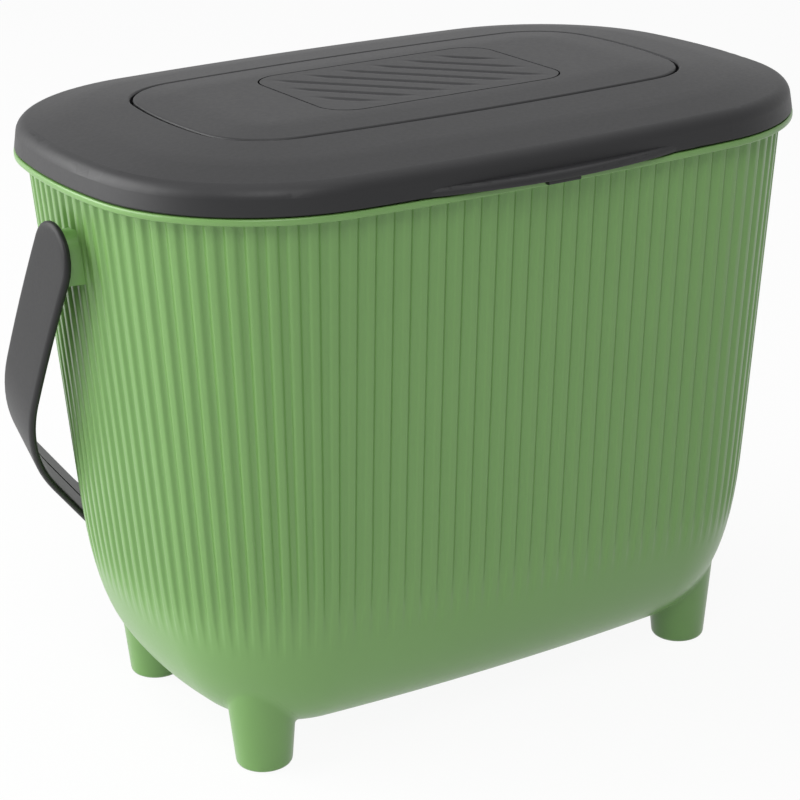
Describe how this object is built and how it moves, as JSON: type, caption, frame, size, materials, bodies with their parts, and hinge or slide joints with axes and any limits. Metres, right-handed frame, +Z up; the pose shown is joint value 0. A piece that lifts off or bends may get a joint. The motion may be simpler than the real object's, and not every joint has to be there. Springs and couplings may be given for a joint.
{
  "type": "kitchen compost caddy",
  "caption": "Oblong ribbed kitchen compost caddy on short feet, with a hinged vented lid that holds a filter, and a swinging strap handle.",
  "frame": {"origin": "on the floor under the middle of the whole, between the finger lip and the hinge, in the plane of the feet", "axes": "+X along the long side, +Z up, the front with the finger lip faces -Y"},
  "size_m": [0.2266, 0.16, 0.1782],
  "materials": {
    "bucket_plastic": "satin moulded",
    "handle_plastic": "satin moulded",
    "lid_plastic": "fine matt grain",
    "seal_rubber": "matt",
    "filter_felt": "felt",
    "pin_steel": "drawn"
  },
  "bodies": {
    "bucket": {"bucket": "bucket_plastic", "hinge_pin": "pin_steel"},
    "handle": {"handle": "handle_plastic"},
    "lid": {"lid": "lid_plastic", "lid_seal": "seal_rubber", "filter_pad": "filter_felt"},
    "filter_cover": {"filter_cover": "lid_plastic", "vent_grille": "lid_plastic"}
  },
  "joints": [
    {"name": "handle_swing", "type": "hinge", "parent": "bucket", "child": "handle", "pos_m": [0, -0.00298, 0.1441], "axis": [1, 0, 0], "range_deg": [0, 298]},
    {"name": "lid_hinge", "type": "hinge", "parent": "bucket", "child": "lid", "pos_m": [0, 0.07642, 0.1615], "axis": [-1, 0, 0], "range_deg": [0, 105]},
    {"name": "filter_cover_lift", "type": "slide", "parent": "lid", "child": "filter_cover", "axis": [0, 0, 1], "range_m": [0, 0.015]}
  ]
}
